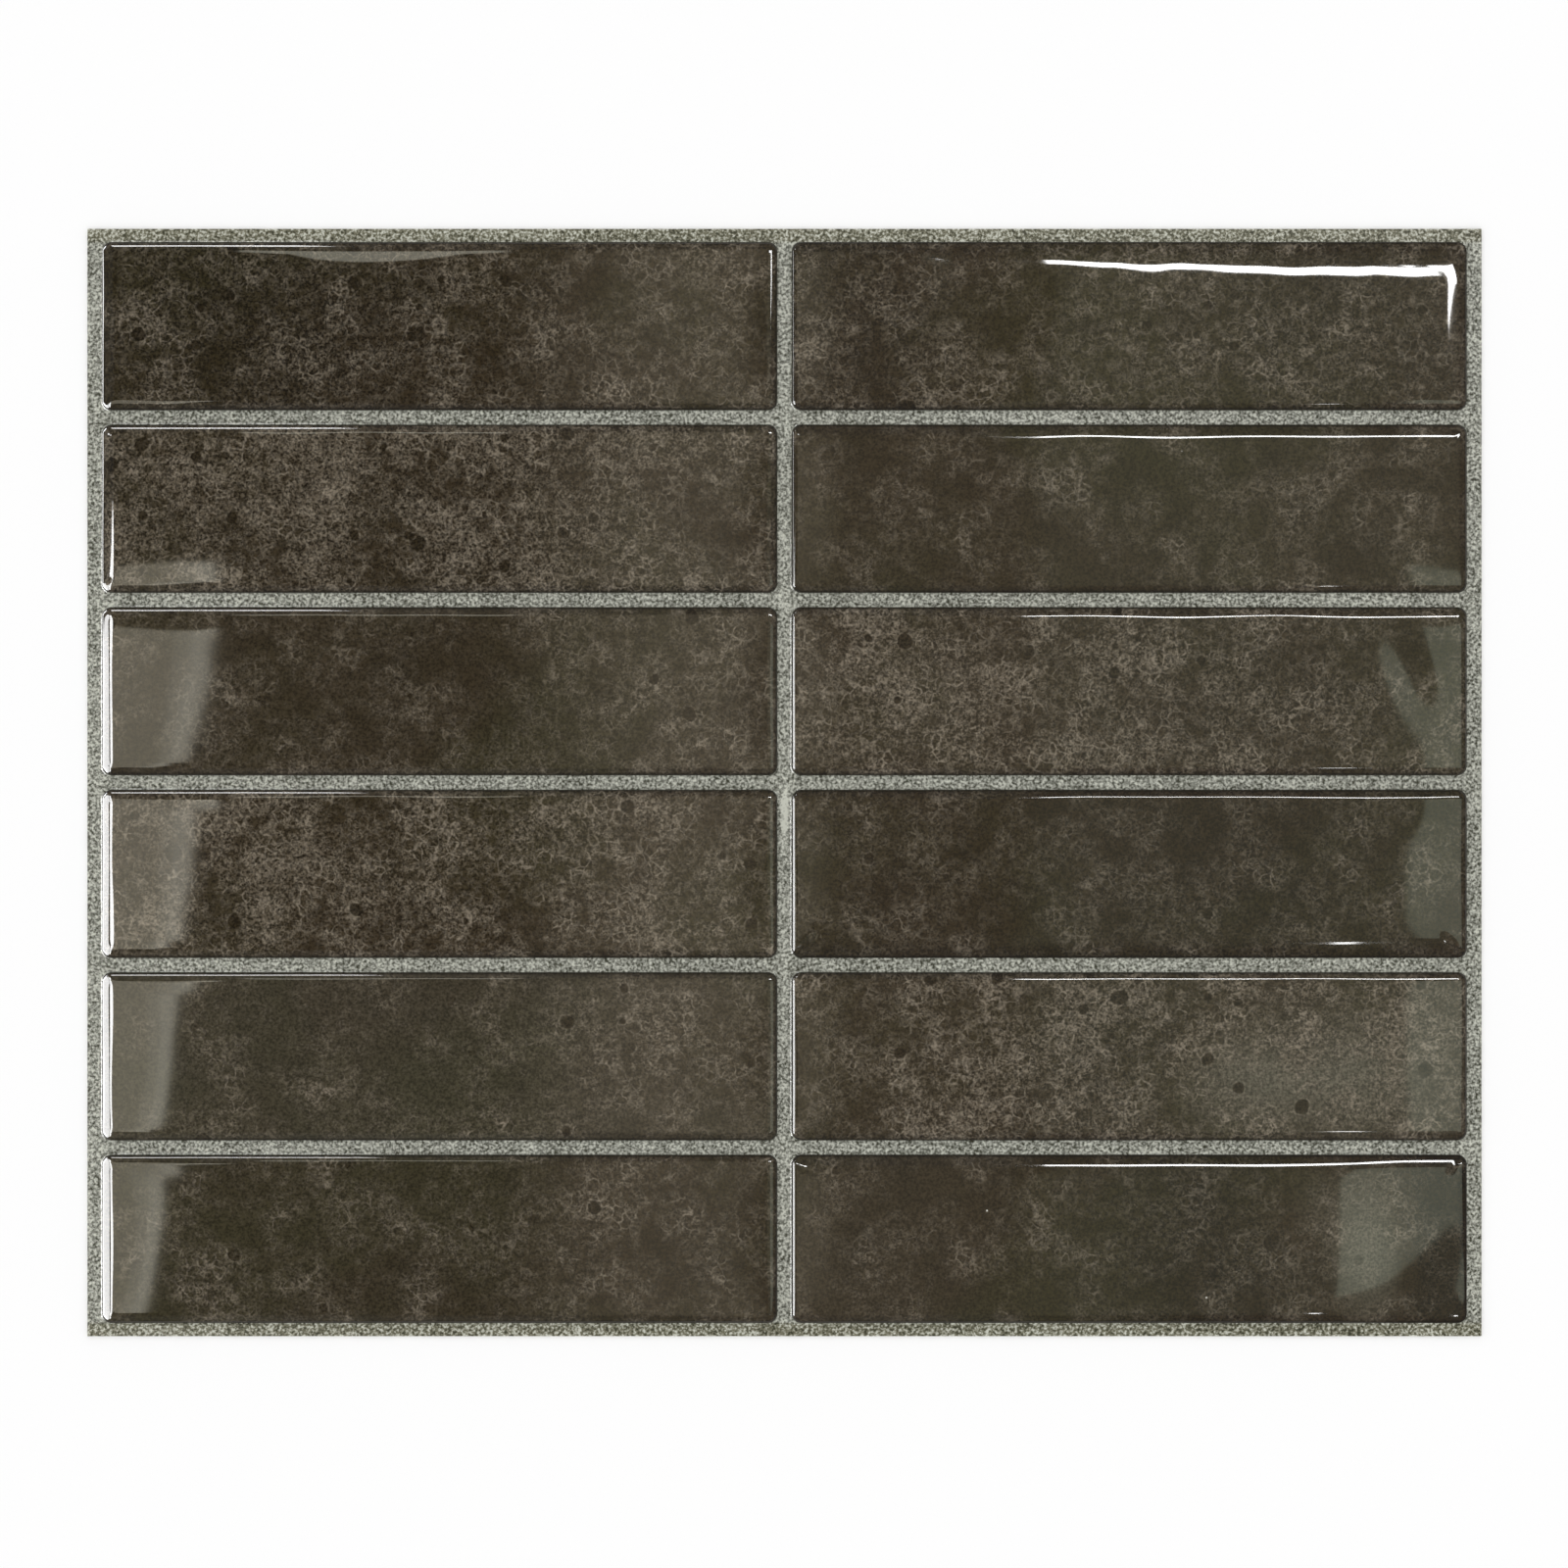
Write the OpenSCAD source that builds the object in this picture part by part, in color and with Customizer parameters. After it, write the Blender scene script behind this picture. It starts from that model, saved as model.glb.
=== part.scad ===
// Peel and stick backsplash sheet: domed gel tiles in straight rows on a
// printed film, with a release liner behind. The sheet lies flat, face up:
// X runs along the tiles, Y across them, and Z points out of the face.
// The origin is the centre of the liner's underside. Millimetres.

/* [Layout] */
// Tiles side by side along X
columns = 2; // [1:1:4]
// Rows of tiles along Y
rows = 6; // [1:1:8]
// Width of the printed joint between two tiles
joint_width = 3.1; // [1:0.1:8]
// Printed border from the outer tiles to the sheet's left and right edges
side_border = 3.25; // [1:0.05:12]
// Printed border from the outer tiles to the sheet's top and bottom edges
end_border = 2.9; // [1:0.05:12]

/* [Gel tile] */
// Length of one tile, along X
tile_length = 147.6; // [60:0.1:300]
// Width of one tile, along Y
tile_width = 36.8; // [20:0.1:60]
// Radius of a tile's corners, seen from above
corner_radius = 2.1; // [0.5:0.05:2.2]
// Width of the rounded rim where the gel drops to the film
rim_width = 2.3; // [2.2:0.05:5]
// Height of the gel where the rim meets the top
rim_height = 1.45; // [0.8:0.05:2.1]
// Rise of the top from the rim to the middle of the tile
crown = 0.15; // [0.05:0.01:0.6]

/* [Backing] */
// Thickness of the printed film with its adhesive
film_thickness = 0.4; // [0.15:0.01:1.5]
// Thickness of the release liner
liner_thickness = 0.12; // [0.05:0.01:0.5]

/* [Hidden] */
// Flat steps in a quarter of the rim's arc, and in the crown from rim to middle
RIM_STEPS = 8;
CROWN_STEPS = 6;
$fn = 64;

function tile_name(row, column) = str("gel_tile_r", row, "_c", column);

// Tiles repeat at one tile and one joint
pitch_x = tile_length + joint_width;
pitch_y = tile_width + joint_width;
sheet_length = columns * pitch_x - joint_width + 2 * side_border;
sheet_width = rows * pitch_y - joint_width + 2 * end_border;

film_z = liner_thickness;
gel_z = film_z + film_thickness;
gel_height = rim_height + crown;

// The rim is an arc that ends level at rim_height, rim_width in from the edge
rim_radius = (rim_width * rim_width + rim_height * rim_height) / (2 * rim_height);
rim_centre_z = rim_height - rim_radius;

// The crown is a wide arc, tangent to the rim and level at the tile's middle
crown_span = tile_width / 2 - rim_width;
crown_radius = rim_radius + (crown_span * crown_span + crown * crown) / (2 * crown);
crown_centre_z = gel_height - crown_radius;
join_angle = atan2(crown_span, rim_centre_z - crown_centre_z);

// Points are kept to a micron, so that the pieces of a tile meet exactly
function micron(value) = round(value * 1000) / 1000;

// The gel's top from the edge inwards, as [distance in from the edge, height]
contact_angle = asin(rim_width / rim_radius);
function rim_point(angle) = [
    micron(rim_width - rim_radius * sin(angle)),
    micron(rim_centre_z + rim_radius * cos(angle))
];
function crown_point(angle) = [
    micron(tile_width / 2 - crown_radius * sin(angle)),
    micron(crown_centre_z + crown_radius * cos(angle))
];
rim_curve = [
    for (step = [0:RIM_STEPS])
        rim_point(contact_angle + (join_angle - contact_angle) * step / RIM_STEPS)
];
crown_curve = [
    for (step = [1:CROWN_STEPS])
        crown_point(join_angle * (1 - step / CROWN_STEPS))
];
gel_curve = concat(rim_curve, crown_curve);

// Height of the rim's curve at a distance in from the edge
function rim_height_at(inset) = lookup(inset, rim_curve);

// A gel section from edge to edge, for a tile that is 2 * half across
module gel_section(half) {
    count = len(gel_curve);
    left = [for (point = gel_curve) [point[0] - half, point[1]]];
    right = [for (i = [count - 1:-1:0]) [half - gel_curve[i][0], gel_curve[i][1]]];
    polygon(concat(left, right));
}

// The rim turned about a corner's centre
module gel_corner() {
    outer = [
        for (point = rim_curve)
            if (point[0] < corner_radius) [corner_radius - point[0], point[1]]
    ];
    centre = [[0, micron(rim_height_at(corner_radius))], [0, 0]];
    rotate_extrude(angle = 90) polygon(concat(outer, centre));
}

// One poured tile: the same section falls away to all four sides,
// and its corners are turned
module gel_tile() {
    corner_x = tile_length / 2 - corner_radius;
    corner_y = tile_width / 2 - corner_radius;
    color([0.24, 0.21, 0.17]) {
        difference() {
            intersection() {
                translate([-tile_length / 2, 0, 0])
                    rotate([90, 0, 90])
                        linear_extrude(tile_length) gel_section(tile_width / 2);
                translate([0, tile_width / 2, 0])
                    rotate([90, 0, 0])
                        linear_extrude(tile_width) gel_section(tile_length / 2);
            }
            for (x = [-1, 1], y = [-1, 1])
                translate([
                    x * (corner_x + corner_radius),
                    y * (corner_y + corner_radius),
                    gel_height / 2
                ])
                    cube([2 * corner_radius, 2 * corner_radius, 2 * gel_height], center = true);
        }
        for (turn = [0:3])
            translate([
                (turn == 0 || turn == 3 ? 1 : -1) * corner_x,
                (turn < 2 ? 1 : -1) * corner_y,
                0
            ])
                rotate(90 * turn) gel_corner();
    }
}

// Row 1 is at the top of the sheet, and column 1 at its left
module placed_gel_tile(row, column) {
    translate([
        (column - (columns + 1) / 2) * pitch_x,
        ((rows + 1) / 2 - row) * pitch_y,
        gel_z
    ])
        gel_tile();
}

// The film carries the printed joints and the stone print under each tile
module printed_film() {
    color([0.55, 0.55, 0.51])
        translate([-sheet_length / 2, -sheet_width / 2, film_z])
            cube([sheet_length, sheet_width, film_thickness]);
}

// The liner covers the adhesive and is cut flush with the film
module release_liner() {
    color([0.9, 0.88, 0.82])
        translate([-sheet_length / 2, -sheet_width / 2, 0])
            cube([sheet_length, sheet_width, liner_thickness]);
}

release_liner();
printed_film();
for (row = [1:rows], column = [1:columns])
    placed_gel_tile(row, column);
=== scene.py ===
from math import cos, exp, hypot, radians, sin

import bmesh
import bpy
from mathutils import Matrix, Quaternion, Vector, noise


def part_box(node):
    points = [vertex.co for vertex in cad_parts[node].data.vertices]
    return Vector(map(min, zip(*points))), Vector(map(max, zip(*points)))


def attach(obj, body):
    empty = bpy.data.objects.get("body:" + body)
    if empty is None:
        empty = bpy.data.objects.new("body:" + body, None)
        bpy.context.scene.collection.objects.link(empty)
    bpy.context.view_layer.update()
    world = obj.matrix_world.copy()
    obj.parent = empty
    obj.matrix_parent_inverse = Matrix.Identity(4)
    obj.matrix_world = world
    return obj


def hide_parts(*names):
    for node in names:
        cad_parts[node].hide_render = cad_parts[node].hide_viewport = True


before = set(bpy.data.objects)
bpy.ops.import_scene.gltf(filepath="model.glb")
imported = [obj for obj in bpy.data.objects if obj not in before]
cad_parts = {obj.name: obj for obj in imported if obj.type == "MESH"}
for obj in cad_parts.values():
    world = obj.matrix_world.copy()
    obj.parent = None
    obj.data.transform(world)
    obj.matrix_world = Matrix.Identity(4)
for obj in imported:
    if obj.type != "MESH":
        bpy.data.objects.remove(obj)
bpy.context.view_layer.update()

MM = 0.001
ROWS = 6
COLUMNS = 2

# The gel tile, in millimetres
CORNER_RADIUS = 2.1
RIM_HEIGHT = 1.45
FOOT_WIDTH = 0.3
FOOT_HEIGHT = 0.16
EDGE_HEIGHT = 0.02
CROWN = 0.06
CROWN_SPAN = 16.0
CORNER_STEPS = 8
RING_INSETS = (-0.2, -0.1, -0.04, 0.0, 0.02, 0.07, 0.15, 0.27, 0.42, 0.6, 0.82, 1.08, 1.38, 1.7)
NEAR_EDGE_CUTS = (2.0, 2.35, 2.75, 3.2, 3.75, 4.4, 5.2, 6.2)
TOP_STEP = 1.6
RIM_LOOSENESS = 0.25

# Each side's rim as (width in millimetres, squareness); the left rims differ by column
PLAIN_RIMS = {"right": (2.3, 2.4), "bottom": (2.3, 2.2), "top": (2.3, 2.2)}
LEFT_RIMS = {1: (2.6, 1.3), 2: (1.0, 2.2)}

# How a tile was poured where it departs from the plain one, in millimetres from its middle:
# rims, shoulders as side: (drop, span), how unevenly a shoulder's span wanders and how much it
# widens along X, and swells as (x, y, half length, half width, turn in degrees, rise)
POURS = {
    (1, 1): {
        "shoulders": {"top": (0.05, 5.0)},
        "swells": [(-11.0, 20.0, 17.0, 3.8, 4.0, -0.25)],
    },
    (1, 2): {
        "shoulders": {"top": (0.70, 6.0), "right": (0.24, 3.4)},
        "looseness": 0.22,
        "fan": 0.0065,
        "swells": [(-34.0, 13.0, 12.0, 20.0, 0.0, -0.12)],
    },
    (2, 1): {"shoulders": {"bottom": (0.03, 7.0)}},
    (2, 2): {"rims": {"top": (3.3, 2.0)}, "shoulders": {"bottom": (0.03, 6.0)}},
    (3, 1): {
        "shoulders": {"top": (0.06, 5.5)},
        "swells": [(-66.0, -22.0, 14.0, 24.0, 0.0, 0.114)],
    },
    (3, 2): {
        "rims": {"top": (2.5, 2.0)},
        "shoulders": {"top": (0.05, 6.0), "bottom": (0.04, 5.0)},
        "swells": [
            (60.5, 5.0, 4.2, 11.0, 25.0, -0.05),
            (69.0, 3.0, 5.0, 14.0, 20.0, 0.03),
            (68.0, -13.0, 6.0, 7.0, 0.0, 0.03),
        ],
    },
    (4, 1): {"swells": [(-66.0, -22.0, 14.0, 24.0, 0.0, 0.05)]},
    (4, 2): {
        "rims": {"top": (2.2, 2.0), "bottom": (8.0, 2.0)},
        "swells": [(66.0, 14.0, 6.0, 5.0, 0.0, 0.05)],
    },
    (5, 1): {"swells": [(-70.0, -22.0, 14.0, 24.0, 0.0, 0.082)]},
    (6, 1): {"swells": [(-73.0, -22.0, 14.0, 24.0, 0.0, 0.08)]},
    (6, 2): {
        "rims": {"top": (4.2, 1.6)},
        "shoulders": {"bottom": (0.10, 7.0)},
        "swells": [(64.5, -7.6, 14.1, 58.9, 8.7, -0.365), (70.0, -16.7, 13.6, 42.5, -28.9, -0.59)],
    },
}

# Each tile's part of the print: how webbed it is, how pale and grey (partly tone, partly a painted sheen),
# and where the web is denser or thinner as (x, y, half length, half width, strength), in millimetres from the tile's
# middle
# A sixth value in a spot makes it paler grey, partly as a painted reflection; below zero it darkens
PRINTS = {
    (1, 1): (0.0, -0.1, [(-10, 4, 20, 12, 0.25), (7, -6, 11, 8, -0.4), (45, 3, 25, 15, -0.15),
                          (-40, 0, 46, 30, 0.0, -0.65)]),
    (1, 2): (-0.15, 0.0, [(-62, 1, 15, 17, 0.45), (-20, 0, 20, 17, -0.2), (47, -6, 20, 11, 0.4),
                          (-60, 0, 25, 30, 0.0, -0.55), (45, 0, 30, 30, 0.0, -0.4)]),
    (2, 1): (0.40, -0.2, [(-58, 6, 17, 11, 0.55), (-30, 6, 18, 12, 0.4), (5, -6, 26, 10, 0.3), (-12, -6, 10, 8, -0.5),
                         (63, 0, 20, 17, -0.6)]),
    (2, 2): (-0.6, 0.1, [(32, -2, 24, 13, 0.15)]),
    (3, 1): (-0.45, 0.15, [(10, 0, 22, 16, -0.1), (58, 0, 25, 17, 0.4)]),
    (3, 2): (0.1, 0.0, [(-50, 1, 19, 15, 0.7), (-25, 1, 13, 13, 0.3), (6, -3, 19, 13, 0.4), (-5, -15, 35, 4, 0.3),
                        (62, 0, 18, 17, -0.5), (-38, 0, 22, 17, 0.0, 0.25), (28, 0, 38, 20, -0.05, -0.35)]),
    (4, 1): (0.15, 0.0, [(-35, 4, 20, 13, 0.4), (-2, 0, 14, 13, 0.35), (20, 0, 12, 14, -0.3), (45, 3, 19, 13, 0.25)]),
    (4, 2): (-0.55, -0.25, [(6, -4, 14, 9, 0.35), (60, -2, 15, 12, 0.3), (22, 0, 35, 30, 0.0, -0.35)]),
    (5, 1): (-0.55, 0.45, [(42, 5, 24, 11, 0.85), (62, -2, 13, 13, 0.3), (60, 0, 20, 20, 0.0, -0.4)]),
    (5, 2): (0.1, 0.05, [(-62, 0, 12, 17, -0.5), (-20, 0, 22, 13, 0.5), (2, 8, 17, 9, 0.4), (35, 2, 26, 14, 0.4),
                         (62, -2, 15, 15, 0.3), (26, -5, 14, 10, 0.0, 1.3), (50, -4, 15, 11, 0.0, 1.3),
                          (-2, 0, 24, 20, 0.0, -0.4)]),
    (6, 1): (-0.45, 0.2, [(-35, 1, 20, 13, 0.1), (54, 8, 20, 9, 0.35), (60, 0, 24, 20, 0.0, -0.5)]),
    (6, 2): (-0.6, 0.2, [(15, 0, 22, 14, 0.25), (50, 4, 16, 12, 0.3), (18, 0, 30, 30, 0.0, -1.0), (71, 2, 13, 26, 0.0, -1.7),
                          (38, 7, 11, 10, 0.0, 0.6), (53, -3, 8, 12, 0.0, 1.7)]),
}


def ink(red, green, blue):
    """A colour as printed, 0 to 255 a channel, as Blender's linear values."""
    channels = []
    for value in (red, green, blue):
        c = value / 255
        channels.append(c / 12.92 if c <= 0.04045 else ((c + 0.055) / 1.055) ** 2.4)
    return (*channels, 1.0)


# ---------------------------------------------------------------- shader nodes

def new_tree(name):
    material = bpy.data.materials.new(name)
    material.use_nodes = True
    tree = material.node_tree
    tree.nodes.clear()
    return material, tree


def node(tree, kind, inputs=None, **settings):
    """A shader node with its settings and its inputs, given as numbers or as sockets."""
    made = tree.nodes.new(kind)
    for name, value in settings.items():
        setattr(made, name, value)
    for key, value in (inputs or {}).items():
        if isinstance(value, bpy.types.NodeSocket):
            tree.links.new(value, made.inputs[key])
        else:
            made.inputs[key].default_value = value
    return made


def calc(tree, operation, a, b=0.0, clamp=False):
    made = node(tree, "ShaderNodeMath", {0: a, 1: b}, operation=operation, use_clamp=clamp)
    return made.outputs[0]


def remap(tree, value, low, high, to_low=0.0, to_high=1.0):
    made = node(
        tree,
        "ShaderNodeMapRange",
        {"Value": value, "From Min": low, "From Max": high, "To Min": to_low, "To Max": to_high},
    )
    return made.outputs["Result"]


def mix(tree, factor, a, b):
    made = node(tree, "ShaderNodeMix", {0: factor, 6: a, 7: b}, data_type="RGBA")
    return made.outputs[2]


def grain(tree, place, scale, detail=2.0, rough=0.5, distortion=0.0):
    made = node(
        tree,
        "ShaderNodeTexNoise",
        {"Vector": place, "Scale": scale, "Detail": detail, "Roughness": rough, "Distortion": distortion},
    )
    return made.outputs["Fac"]


def sheet_place(tree, move=(0.0, 0.0, 0.0), stretch=(1.0, 1.0, 1.0)):
    """The place on the sheet, in metres, moved and stretched for one layer of the print."""
    place = node(tree, "ShaderNodeTexCoord").outputs["Object"]
    return node(tree, "ShaderNodeMapping", {"Vector": place, "Location": move, "Scale": stretch}).outputs[0]


# ---------------------------------------------------------------- prints

GROUT_PALE = ink(204, 205, 192)
GROUT_MID = ink(140, 141, 131)
GROUT_DARK = ink(52, 52, 36)
GROUT_OLIVE = ink(120, 118, 98)


def grout_print(tree):
    """Grey speckled grout, as printed on the film's joints and its darker border, with a painted highlight on the
    middle joint.
    """
    place = sheet_place(tree)
    speck = grain(tree, place, 1550, 2.0, 0.7)
    cloud = grain(tree, place, 120, 3.0, 0.6)
    tone = calc(tree, "ADD", remap(tree, speck, 0.345, 0.655), remap(tree, cloud, 0.3, 0.7, -0.1, 0.1))
    across = node(tree, "ShaderNodeSeparateXYZ", {"Vector": place}).outputs["Y"]
    border = remap(tree, calc(tree, "ABSOLUTE", across), 0.1178, 0.1186)
    upright = node(tree, "ShaderNodeSeparateXYZ", {"Vector": place}).outputs["X"]
    tone = calc(tree, "ADD", tone, remap(tree, calc(tree, "ABSOLUTE", upright), 0.0011, 0.0016, 0.07, 0.0))
    # Painted highlight: a pale spot on the upper part of the middle joint, in place of a wet glare of reflected light
    painted_glare_spot = node(tree, "ShaderNodeVectorMath", {0: sheet_place(tree, (0.0, 1.33, 0.0), (1100.0, 195.0, 0.0))}, operation="LENGTH")
    tone = calc(tree, "ADD", tone, remap(tree, painted_glare_spot.outputs["Value"], 0.6, 1.1, 0.6, 0.0))
    middle = mix(tree, border, GROUT_MID, GROUT_OLIVE)
    ground = mix(tree, remap(tree, tone, 0.0, 0.5), GROUT_DARK, middle)
    return mix(tree, remap(tree, tone, 0.5, 1.0), ground, GROUT_PALE)


STONE_BROWN = ink(47, 38, 24)
STONE_OLIVE = ink(47, 42, 24)
STONE_UMBER = ink(36, 29, 17)
STONE_VEIL = ink(87, 79, 67)
# Pale grey of the painted sheen, which also serves as the stone's paler tone
STONE_MIST_AND_SHEEN = ink(104, 102, 89)
STONE_THREAD = ink(120, 111, 97)
# Painted shade: the dark the stone turns towards the gel's outline
STONE_RIM_PAINTED_SHADE = ink(22, 18, 11)


def contour(tree, field, level, width):
    """A thin soft line, from 0 to 1, where a noise field crosses a level."""
    return remap(tree, calc(tree, "ABSOLUTE", calc(tree, "SUBTRACT", field, level)), 0.0, width, 1.0, 0.0)


def attribute(tree, name):
    return node(tree, "ShaderNodeAttribute", attribute_name=name).outputs["Fac"]


def stone_print(tree):
    """Dark brown stone with olive drifts, a web of curled pale threads, crusts and dark pebbles, paler grey in places,
    partly as a painted sheen.
    """
    place = sheet_place(tree)
    drift = remap(tree, grain(tree, sheet_place(tree, (3.1, 1.7, 0.0)), 14, 3.0, 0.6, 0.6), 0.44, 0.62)
    colour = mix(tree, drift, STONE_BROWN, STONE_OLIVE)
    shade = grain(tree, sheet_place(tree, (7.3, 2.9, 0.0)), 90, 4.0, 0.6, 0.5)
    colour = mix(tree, remap(tree, shade, 0.5, 0.7, 0.0, 0.5), colour, STONE_UMBER)
    # Partly painted sheen: paler grey where the tile's value is above zero, standing in for reflected light as well as
    # for the stone's own tone
    colour = mix(tree, calc(tree, "MULTIPLY", attribute(tree, "tone_and_painted_sheen"), 0.4), colour, STONE_MIST_AND_SHEEN)

    cloud = remap(tree, grain(tree, place, 85, 6.0, 0.62, 0.3), 0.0, 1.0, 0.12, 0.88)
    cloud = calc(tree, "ADD", cloud, calc(tree, "MULTIPLY", attribute(tree, "web"), 0.15))
    amount = remap(tree, cloud, 0.34, 0.7)
    fine = remap(tree, grain(tree, place, 1650, 3.0, 0.65), 0.38, 0.62)
    colour = mix(tree, calc(tree, "MULTIPLY", amount, 0.29), colour, STONE_VEIL)
    crust = calc(tree, "ADD", cloud, remap(tree, fine, 0.0, 1.0, -0.1, 0.1))
    colour = mix(tree, remap(tree, crust, 0.6, 0.68, 0.0, 0.6), colour, STONE_VEIL)

    curl = contour(tree, grain(tree, place, 640, 1.0, 0.5, 0.4), 0.5, 0.065)
    web = contour(tree, grain(tree, sheet_place(tree, (1.3, 4.1, 0.0)), 960, 1.0, 0.5, 0.2), 0.5, 0.10)
    broken = remap(tree, grain(tree, sheet_place(tree, (5.9, 0.7, 0.0)), 420, 3.0, 0.6), 0.42, 0.58)
    bent = node(tree, "ShaderNodeTexNoise", {"Vector": place, "Scale": 340.0, "Detail": 2.0}).outputs["Color"]
    bent = node(tree, "ShaderNodeVectorMath", {0: bent, 1: (0.0030, 0.0030, 0.0)}, operation="MULTIPLY_ADD")
    tree.links.new(place, bent.inputs[2])
    cells = node(tree, "ShaderNodeTexVoronoi", {"Vector": bent.outputs[0], "Scale": 430.0}, feature="DISTANCE_TO_EDGE")
    cell = remap(tree, cells.outputs["Distance"], 0.03, 0.11, 0.85, 0.0)
    patchy = remap(tree, grain(tree, sheet_place(tree, (2.2, 8.8, 0.0)), 210, 3.0), 0.46, 0.58)
    cell = calc(tree, "MULTIPLY", cell, calc(tree, "MULTIPLY", patchy, remap(tree, amount, 0.1, 0.6)))
    thread = calc(tree, "MULTIPLY", calc(tree, "MAXIMUM", curl, web), broken)
    thread = calc(tree, "MAXIMUM", calc(tree, "MULTIPLY", thread, amount), cell)
    colour = mix(tree, thread, colour, STONE_THREAD)
    pits = node(tree, "ShaderNodeTexVoronoi", {"Vector": place, "Scale": 620.0})
    pit = remap(tree, pits.outputs["Distance"], 0.16, 0.3, 0.5, 0.0)
    colour = mix(tree, calc(tree, "MULTIPLY", pit, remap(tree, crust, 0.45, 0.6)), colour, STONE_UMBER)

    pebbles = node(tree, "ShaderNodeTexVoronoi", {"Vector": place, "Scale": 150.0})
    chance = node(tree, "ShaderNodeSeparateColor", {"Color": pebbles.outputs["Color"]})
    size = remap(tree, chance.outputs[0], 0.35, 1.0, 0.0, 0.28)
    uneven = remap(tree, grain(tree, place, 260, 1.0), 0.3, 0.7, -0.07, 0.07)
    inside = calc(tree, "ADD", calc(tree, "SUBTRACT", size, pebbles.outputs["Distance"]), uneven)
    shown = remap(tree, amount, 0.1, 0.45)
    ring = remap(tree, calc(tree, "ABSOLUTE", calc(tree, "ADD", inside, 0.03)), 0.0, 0.035, 0.45, 0.0)
    ring = calc(tree, "MULTIPLY", calc(tree, "MULTIPLY", ring, shown), remap(tree, size, 0.06, 0.1))
    colour = mix(tree, calc(tree, "MULTIPLY", ring, broken), colour, STONE_THREAD)
    hollow = calc(tree, "MULTIPLY", remap(tree, inside, 0.0, 0.04, 0.0, 0.85), shown)
    colour = mix(tree, hollow, colour, STONE_UMBER)

    dust = node(tree, "ShaderNodeTexVoronoi", {"Vector": place, "Scale": 55.0})
    seen = node(tree, "ShaderNodeSeparateColor", {"Color": dust.outputs["Color"]})
    speck = calc(tree, "MULTIPLY", calc(tree, "LESS_THAN", dust.outputs["Distance"], 0.012),
                 calc(tree, "GREATER_THAN", seen.outputs[1], 0.8))
    colour = mix(tree, speck, colour, ink(190, 188, 180))
    relief = calc(tree, "MULTIPLY", calc(tree, "SUBTRACT", fine, 0.5), remap(tree, amount, 0.0, 1.0, 0.7, 1.05))
    # Darker where the tile's value is below zero, and a little darker all over where it is not
    dim = remap(tree, attribute(tree, "tone_and_painted_sheen"), -1.0, 0.0, 0.55, 0.94)
    depth = calc(tree, "ADD", relief, dim)
    return node(tree, "ShaderNodeMix", {0: 1.0, 6: colour, 7: depth}, data_type="RGBA", blend_type="MULTIPLY").outputs[2]


def gel_material():
    """Clear glossy gel over the print: the stone inside the rim, darkened by painted shade near the outline, the grout
    under its foot.
    """
    material, tree = new_tree("clear_gel_over_stone_print")
    inset = attribute(tree, "inset")
    # Painted shade: the stone darkens towards the outline, in place of the darker look of the print through the gel's
    # steep rim
    colour = mix(tree, remap(tree, inset, 0.1, 0.8, 0.85, 0.0), stone_print(tree), STONE_RIM_PAINTED_SHADE)
    colour = mix(tree, remap(tree, inset, -0.05, 0.03, 1.0, 0.0), colour, grout_print(tree))
    shader = node(
        tree,
        "ShaderNodeBsdfPrincipled",
        {"Base Color": colour, "Roughness": 0.035, "IOR": 1.52},
    )
    node(tree, "ShaderNodeOutputMaterial", {"Surface": shader.outputs[0]})
    return material


def film_material():
    material, tree = new_tree("printed_grout_film")
    speck = grain(tree, sheet_place(tree), 1900, 2.0, 0.6, 0.4)
    bump = node(tree, "ShaderNodeBump", {"Height": speck, "Strength": 0.15, "Distance": 0.00005})
    shader = node(
        tree,
        "ShaderNodeBsdfPrincipled",
        {"Base Color": grout_print(tree), "Roughness": 0.38, "Specular IOR Level": 0.12, "Normal": bump.outputs[0]},
    )
    node(tree, "ShaderNodeOutputMaterial", {"Surface": shader.outputs[0]})
    return material


def liner_material():
    material, tree = new_tree("release_liner_paper")
    fibre = grain(tree, sheet_place(tree, stretch=(1.0, 0.35, 1.0)), 900, 3.0, 0.6)
    cloud = grain(tree, sheet_place(tree), 90, 2.0, 0.5)
    tone = calc(tree, "ADD", remap(tree, fibre, 0.3, 0.7, 0.0, 0.5), remap(tree, cloud, 0.3, 0.7, 0.0, 0.5))
    colour = mix(tree, tone, ink(226, 221, 205), ink(238, 235, 224))
    bump = node(tree, "ShaderNodeBump", {"Height": fibre, "Strength": 0.2, "Distance": 0.00005})
    shader = node(
        tree,
        "ShaderNodeBsdfPrincipled",
        {"Base Color": colour, "Roughness": 0.6, "Normal": bump.outputs[0]},
    )
    node(tree, "ShaderNodeOutputMaterial", {"Surface": shader.outputs[0]})
    return material


# ---------------------------------------------------------------- gel tiles

def smooth(value, low, high):
    t = min(max((value - low) / (high - low), 0.0), 1.0)
    return t * t * (3 - 2 * t)


def side_distances(x, y, length, width):
    return length / 2 - abs(x), width / 2 - abs(y)


def inset_of(x, y, length, width):
    """How far a point lies in from the tile's rounded outline; under the foot it is below zero."""
    dx, dy = side_distances(x, y, length, width)
    if dx < CORNER_RADIUS and dy < CORNER_RADIUS:
        return CORNER_RADIUS - hypot(CORNER_RADIUS - dx, CORNER_RADIUS - dy)
    return min(dx, dy)


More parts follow.
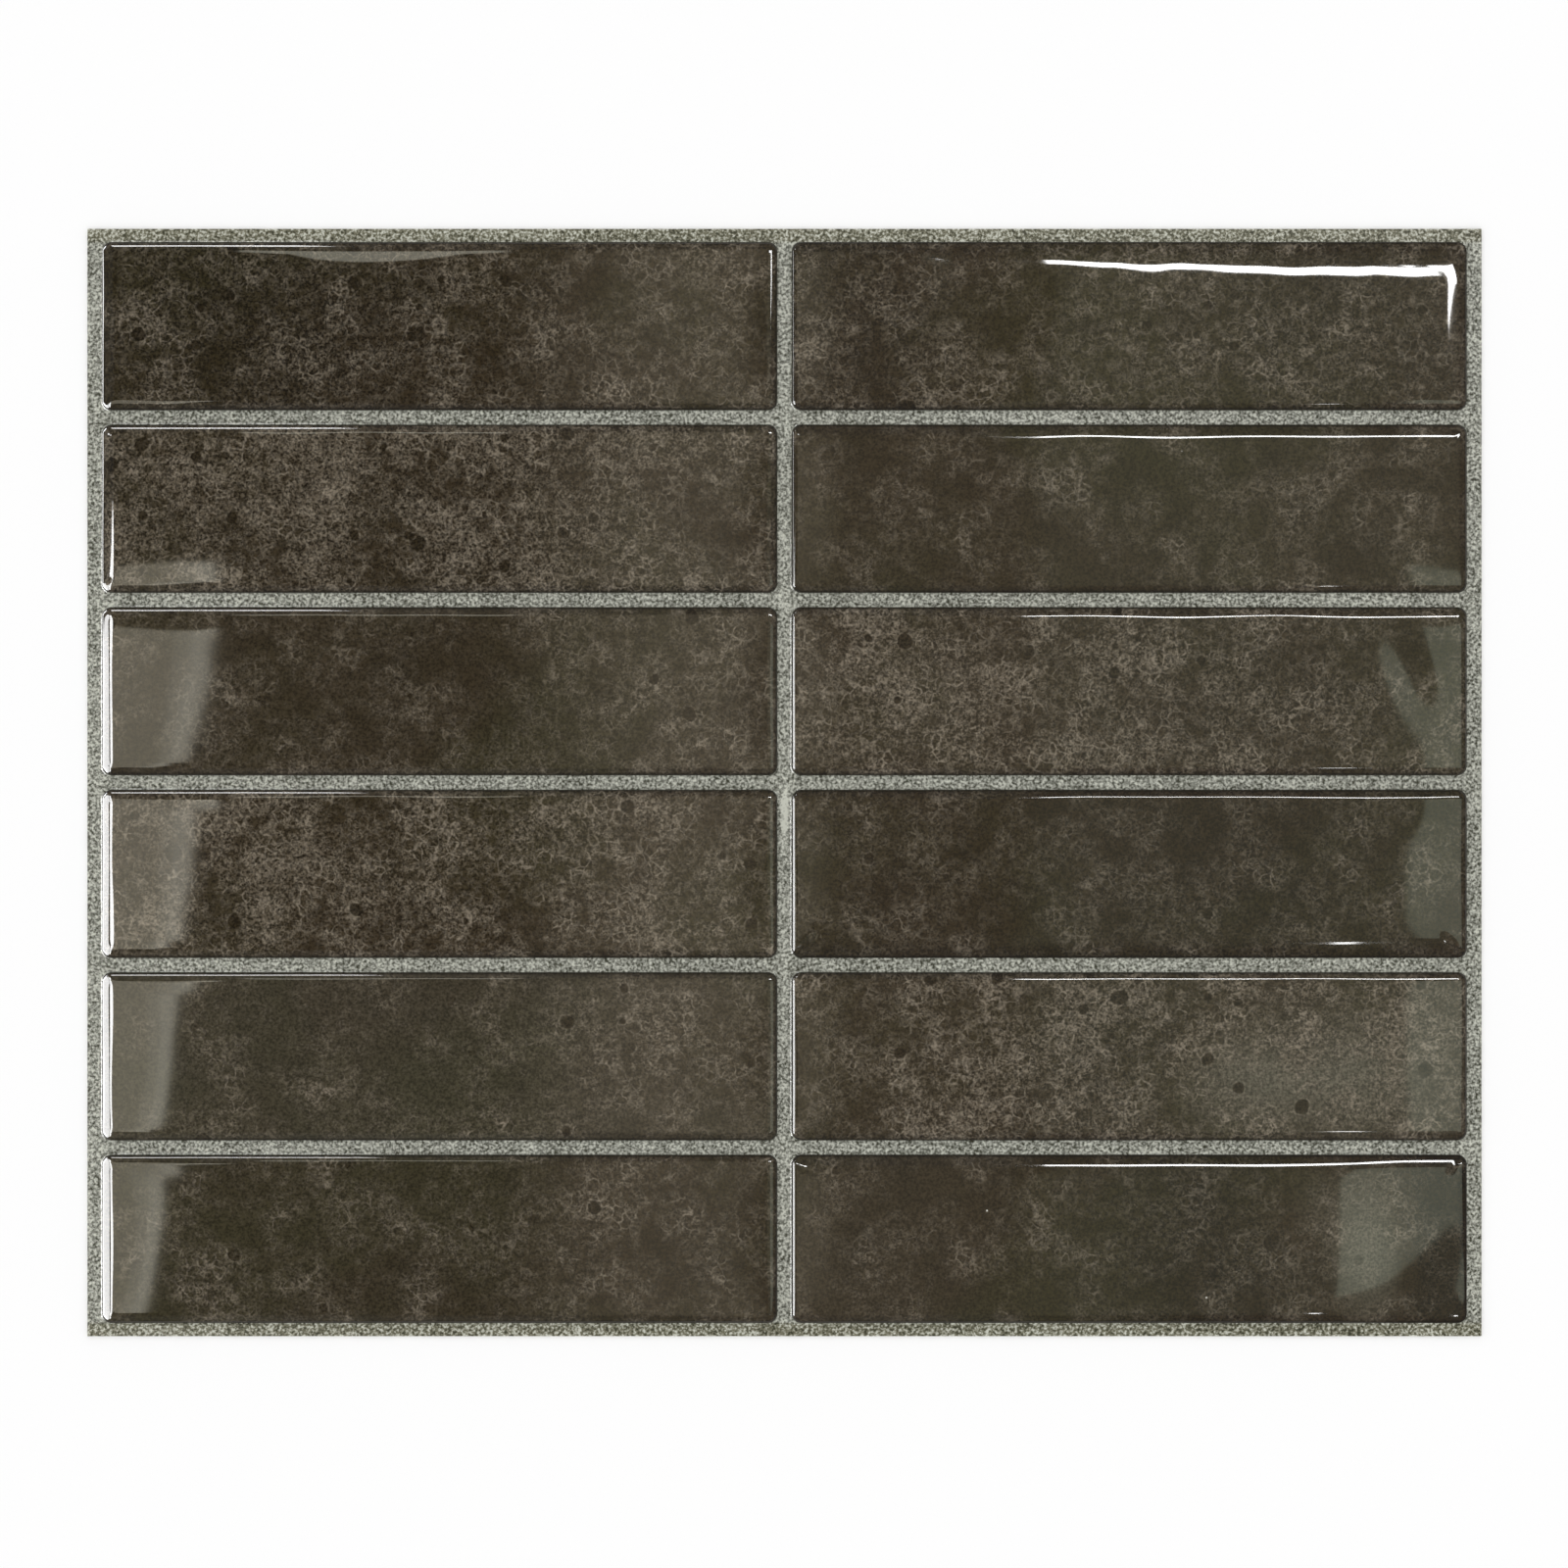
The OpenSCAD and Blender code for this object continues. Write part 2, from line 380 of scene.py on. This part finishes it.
def gel_blank(length, width):
    """A flat rounded rectangle with rings round its rim and a fine grid over its top."""
    bm = bmesh.new()
    bmesh.ops.create_grid(bm, x_segments=1, y_segments=1, size=0.5)
    bmesh.ops.scale(bm, vec=(length + 2 * FOOT_WIDTH, width + 2 * FOOT_WIDTH, 1.0), verts=bm.verts)
    bmesh.ops.bevel(
        bm, geom=bm.verts[:], offset=CORNER_RADIUS + FOOT_WIDTH, offset_type="OFFSET",
        affect="VERTICES", segments=CORNER_STEPS, profile=0.5, material=-1,
    )
    bm.faces.ensure_lookup_table()
    base = bm.faces[0]
    raised = bmesh.ops.extrude_face_region(bm, geom=[base], use_keep_orig=True)["geom"]
    top = next(g for g in raised if isinstance(g, bmesh.types.BMFace))
    bmesh.ops.translate(bm, vec=(0.0, 0.0, EDGE_HEIGHT), verts=top.verts)
    reached = -FOOT_WIDTH
    for inset in RING_INSETS:
        bmesh.ops.inset_region(bm, faces=[top], thickness=inset - reached, use_even_offset=True, use_boundary=True)
        reached = inset
    for axis, size in ((0, length), (1, width)):
        near = [size / 2 - cut for cut in NEAR_EDGE_CUTS]
        steps = max(1, round(2 * near[-1] / TOP_STEP))
        across = [-near[-1] + 2 * near[-1] * i / steps for i in range(1, steps)]
        for cut in near + [-c for c in near] + across:
            middle = Vector((0.0, 0.0, 0.0))
            normal = Vector((0.0, 0.0, 0.0))
            middle[axis] = cut
            normal[axis] = 1.0
            cutting = [f for f in bm.faces if f is not base]
            edges = {e for f in cutting for e in f.edges}
            corners = {v for f in cutting for v in f.verts}
            bmesh.ops.bisect_plane(
                bm, geom=list(corners) + list(edges) + cutting, plane_co=middle, plane_no=normal, dist=0.0005,
            )
    return bm


def rim_share(inset, width, squareness):
    """Height on the rim's curve, from 0 at the outline to 1 where the rim ends."""
    t = min(max(inset / width, 0.0), 1.0)
    return (1 - (1 - t) ** squareness) ** (1 / squareness)


def blot(x, y, centre_x, centre_y, half_length, half_width, turn=0.0):
    """A soft round patch, from 1 at its centre down to 0."""
    along = (x - centre_x) * cos(radians(turn)) + (y - centre_y) * sin(radians(turn))
    across = (y - centre_y) * cos(radians(turn)) - (x - centre_x) * sin(radians(turn))
    return exp(-(along / half_length) ** 2 - (across / half_width) ** 2)


def shoulder_drop(distances, shoulders, loose):
    """How much lower the top is where it falls gently towards some of its sides."""
    drop = 0.0
    for side, (depth, span) in shoulders.items():
        drop += depth * (1 - min(max(distances[side] / (span * loose), 0.0), 1.0)) ** 2
    return drop


def gel_height(x, y, length, width, pour, seed):
    """Height of the gel above the film, in millimetres."""
    inset = inset_of(x, y, length, width)
    if inset < -FOOT_WIDTH + 0.001:
        return EDGE_HEIGHT
    if inset < 0:
        return EDGE_HEIGHT + FOOT_HEIGHT * (1 + inset / FOOT_WIDTH) ** 3
    dx, dy = side_distances(x, y, length, width)
    distances = {"left": length / 2 + x, "right": length / 2 - x, "bottom": width / 2 + y, "top": width / 2 - y}
    uneven = noise.noise(Vector((x / 22, y / 22, seed + 53.0)))
    rims = {side: (rim[0] * (1 + RIM_LOOSENESS * uneven), rim[1]) for side, rim in pour["rims"].items()}
    wander = noise.noise(Vector((x / 12, y / 12, seed + 71.0)))
    wander += 0.45 * noise.noise(Vector((x / 4.5, y / 9, seed + 83.0)))
    loose = 1 + pour.get("looseness", 0.2) * wander + pour.get("fan", 0.0) * x
    across = smooth(dy - dx, -1.2, 1.2)
    end_share = rim_share(inset, *rims["left" if x < 0 else "right"])
    side_share = rim_share(inset, *rims["bottom" if y < 0 else "top"])
    share = across * end_share + (1 - across) * side_share
    low = EDGE_HEIGHT + FOOT_HEIGHT
    rise_x = 1 - (1 - min(max(dx, 0) / CROWN_SPAN, 1)) ** 2
    rise_y = 1 - (1 - min(max(dy, 0) / CROWN_SPAN, 1)) ** 2
    top = RIM_HEIGHT + CROWN * rise_x * rise_y - shoulder_drop(distances, pour.get("shoulders", {}), loose)
    for swell in pour.get("swells", ()):
        top += swell[5] * blot(x, y, *swell[:5])
    wave = 0.006 * noise.noise(Vector((x / 17, y / 17, seed)))
    wave += 0.0016 * noise.noise(Vector((x / 6, y / 6, seed + 31.0)))
    return low + (top - low + smooth(inset, 0.5, 4.0) * wave) * share


def gel_tile(row, column, material):
    """One poured dome in place of the node with the same row and column."""
    name = f"gel_tile_r{row}_c{column}"
    low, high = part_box(name)
    length = (high[0] - low[0]) / MM
    width = (high[1] - low[1]) / MM
    centre = Vector(((low[0] + high[0]) / 2, (low[1] + high[1]) / 2, low[2]))
    bm = gel_blank(length, width)
    inset_layer = bm.verts.layers.float.new("inset")
    web_layer = bm.verts.layers.float.new("web")
    tone_and_sheen_layer = bm.verts.layers.float.new("tone_and_painted_sheen")
    web, tone_and_painted_sheen, spots = PRINTS[row, column]
    pour = dict(POURS.get((row, column), {}))
    pour["rims"] = {"left": LEFT_RIMS[column], **PLAIN_RIMS, **pour.get("rims", {})}
    for vert in bm.verts:
        x, y = vert.co.x, vert.co.y
        vert[inset_layer] = inset_of(x, y, length, width)
        vert[web_layer] = web + sum(spot[4] * blot(x, y, *spot[:4]) for spot in spots)
        vert[tone_and_sheen_layer] = tone_and_painted_sheen + sum(spot[5] * blot(x, y, *spot[:4]) for spot in spots if len(spot) > 5)
        if vert.co.z > 0:
            vert.co.z = gel_height(x, y, length, width, pour, 10.0 * row + column)
    bmesh.ops.scale(bm, vec=(MM, MM, MM), verts=bm.verts)
    bmesh.ops.translate(bm, vec=centre, verts=bm.verts)
    bmesh.ops.recalc_face_normals(bm, faces=bm.faces)
    for face in bm.faces:
        face.smooth = len(face.verts) < 20
    mesh = bpy.data.meshes.new(f"gel_dome_r{row}_c{column}")
    bm.to_mesh(mesh)
    bm.free()
    piece = bpy.data.objects.new(mesh.name, mesh)
    bpy.context.scene.collection.objects.link(piece)
    mesh.materials.append(material)
    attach(piece, "root")
    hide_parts(name)
    return piece


# ---------------------------------------------------------------- stage and light

CAMERA_HEIGHT = 1.2
VIEW_WIDTH = 1600 * 0.214 * MM


# Brightness of the ceiling as the gel mirrors it
CEILING_DARK = (0.10, 0.09, 0.07, 1.0)
CEILING_WARM = (0.80, 0.72, 0.56, 1.0)
CEILING_DIM = (0.34, 0.30, 0.24, 1.0)
CEILING_OLIVE = (0.52, 0.51, 0.40, 1.0)
CEILING_SIDE = (0.22, 0.22, 0.22, 1.0)
CEILING_EDGE = (0.90, 0.90, 0.90, 1.0)


def floor():
    mesh = bpy.data.meshes.new("floor")
    bm = bmesh.new()
    bmesh.ops.create_grid(bm, x_segments=1, y_segments=1, size=4.0)
    bmesh.ops.translate(bm, vec=(0.0, 0.0, -0.00005), verts=bm.verts)
    bm.to_mesh(mesh)
    bm.free()
    ground = bpy.data.objects.new("floor", mesh)
    bpy.context.scene.collection.objects.link(ground)
    material, tree = new_tree("white_floor")
    shader = node(tree, "ShaderNodeBsdfDiffuse", {"Color": (0.97, 0.97, 0.97, 1.0)})
    seen = node(tree, "ShaderNodeLightPath").outputs["Is Camera Ray"]
    lift = node(tree, "ShaderNodeEmission", {"Strength": calc(tree, "MULTIPLY", seen, 0.05)})
    both = node(tree, "ShaderNodeAddShader", {0: shader.outputs[0], 1: lift.outputs[0]})
    node(tree, "ShaderNodeOutputMaterial", {"Surface": both.outputs[0]})
    mesh.materials.append(material)


def studio_world():
    """Even soft light, a white backdrop, and a dim ceiling of soft panels for the gel to reflect."""
    world = bpy.data.worlds.new("studio")
    bpy.context.scene.world = world
    world.use_nodes = True
    tree = world.node_tree
    tree.nodes.clear()
    direction = node(tree, "ShaderNodeTexCoord").outputs["Generated"]
    axes = node(tree, "ShaderNodeSeparateXYZ", {"Vector": direction})
    up = axes.outputs["Z"]
    across = calc(tree, "DIVIDE", axes.outputs["X"], calc(tree, "MAXIMUM", up, 0.05))
    panels = mix(tree, remap(tree, across, -0.052, -0.025), CEILING_DARK, CEILING_WARM)
    panels = mix(tree, remap(tree, across, -0.004, 0.006), panels, CEILING_DIM)
    panels = mix(tree, remap(tree, across, 0.042, 0.048), panels, CEILING_OLIVE)
    ceiling = mix(tree, remap(tree, up, 0.9, 0.985), CEILING_SIDE, panels)
    ceiling = mix(tree, remap(tree, up, 0.02, 0.15), CEILING_EDGE, ceiling)
    path = node(tree, "ShaderNodeLightPath")
    light = mix(tree, path.outputs["Is Glossy Ray"], (0.97, 0.97, 0.97, 1.0), ceiling)
    light = mix(tree, path.outputs["Is Camera Ray"], light, (1.0, 1.0, 1.0, 1.0))
    shader = node(tree, "ShaderNodeBackground", {"Color": light, "Strength": 1.0})
    node(tree, "ShaderNodeOutputWorld", {"Surface": shader.outputs[0]})


def softbox(name, place, aim, size, turn, brightness, colour):
    """A rectangular lamp that the gel mirrors and that leaves the prints' light even."""
    light = bpy.data.lights.new(name, "AREA")
    light.shape = "RECTANGLE"
    light.size, light.size_y = size
    light.energy = brightness * 4 * size[0] * size[1]
    light.color = colour
    lamp = bpy.data.objects.new(name, light)
    bpy.context.scene.collection.objects.link(lamp)
    lamp.location = place
    facing = (Vector(aim) - Vector(place)).to_track_quat("-Z", "Y")
    lamp.rotation_euler = (facing @ Quaternion((0.0, 0.0, 1.0), radians(turn))).to_euler()
    lamp.visible_camera = False
    lamp.visible_diffuse = False
    return lamp


def camera():
    data = bpy.data.cameras.new("camera")
    data.sensor_width = 36.0
    data.lens = 36.0 * CAMERA_HEIGHT / VIEW_WIDTH
    eye = bpy.data.objects.new("camera", data)
    bpy.context.scene.collection.objects.link(eye)
    eye.location = (-0.5 * 0.214 * MM, -1.5 * 0.214 * MM, CAMERA_HEIGHT + 0.002)
    bpy.context.scene.camera = eye


gel = gel_material()
for row in range(1, ROWS + 1):
    for column in range(1, COLUMNS + 1):
        gel_tile(row, column, gel)
for name, material in (("printed_film", film_material()), ("release_liner", liner_material())):
    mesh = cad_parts[name].data
    mesh.materials.clear()
    mesh.materials.append(material)

floor()
studio_world()
camera()
WHITE = (1.0, 1.0, 1.0)
LEFT_STEPS = {
    # row: (inner edge, low end, high end)
    3: (-0.2172, 0.000, 0.075),
    4: (-0.2255, -0.070, 0.000),
    5: (-0.2311, -0.140, -0.070),
    6: (-0.238, -0.215, -0.140),
}
LAMPS = {
    # name: (place, aim, size, turn in degrees, brightness, colour)
    "right_softbox": ((0.44, -0.07, 0.9), (0.44, -0.07, 0.0), (0.4, 0.29), 0, 0.85, (0.9, 1.0, 0.8)),
    "top_strip": ((0.176, 0.2625, 0.9), (0.176, 0.2625, 0.0), (0.165, 0.065), 0, 25.0, WHITE),
    "corner_strip": ((0.312, 0.2575, 0.9), (0.312, 0.2575, 0.0), (0.095, 0.145), 18, 25.0, WHITE),
    "far_strip": ((-0.188, 0.45, 0.33), (-0.13, 0.1, 0.0), (0.10, 0.10), 0, 14.0, WHITE),
    "left_window_sill": ((-0.508, -0.149, 0.145), (-0.058, -0.149, -0.037), (0.4, 0.251), 6, 13.0, WHITE),
    "left_window": ((-0.377, -0.127, 0.330), (-0.093, -0.127, -0.082), (0.4, 0.141), 6, 18.0, WHITE),
    "far_panel": ((-0.158, 0.298, 0.9), (-0.158, 0.298, 0.0), (0.10, 0.10), 0, 2.2, (1.0, 0.98, 0.82)),
    "low_strip": ((0.217, -0.289, 0.9), (0.217, -0.289, 0.0), (0.011, 0.035), 0, 20.0, WHITE),
    "left_low": ((-0.7, 0.0, 0.05), (0.0, 0.0, 0.0), (0.7, 0.08), 0, 20.0, WHITE),
}
for name, settings in LAMPS.items():
    softbox(name, *settings)
# The left softbox steps back from row to row, and is brighter along its inner edge
for row, (inner, low, high) in LEFT_STEPS.items():
    width, depth, middle = inner + 0.62, high - low, (low + high) / 2
    place = (inner - width / 2, middle, 0.9)
    softbox(f"left_softbox_{row}", place, (place[0], middle, 0.0), (width, depth), 0, 1.62, (1.0, 0.94, 0.76))
    for border, brightness in ((0.016, 0.5), (0.008, 0.7)):
        place = (inner - border / 2, middle, 0.9 + border)
        softbox(f"left_softbox_edge_{row}", place, (place[0], middle, 0.0), (border, depth), 0, brightness, (1.0, 1.0, 0.9))

bpy.context.scene.view_settings.view_transform = "Standard"
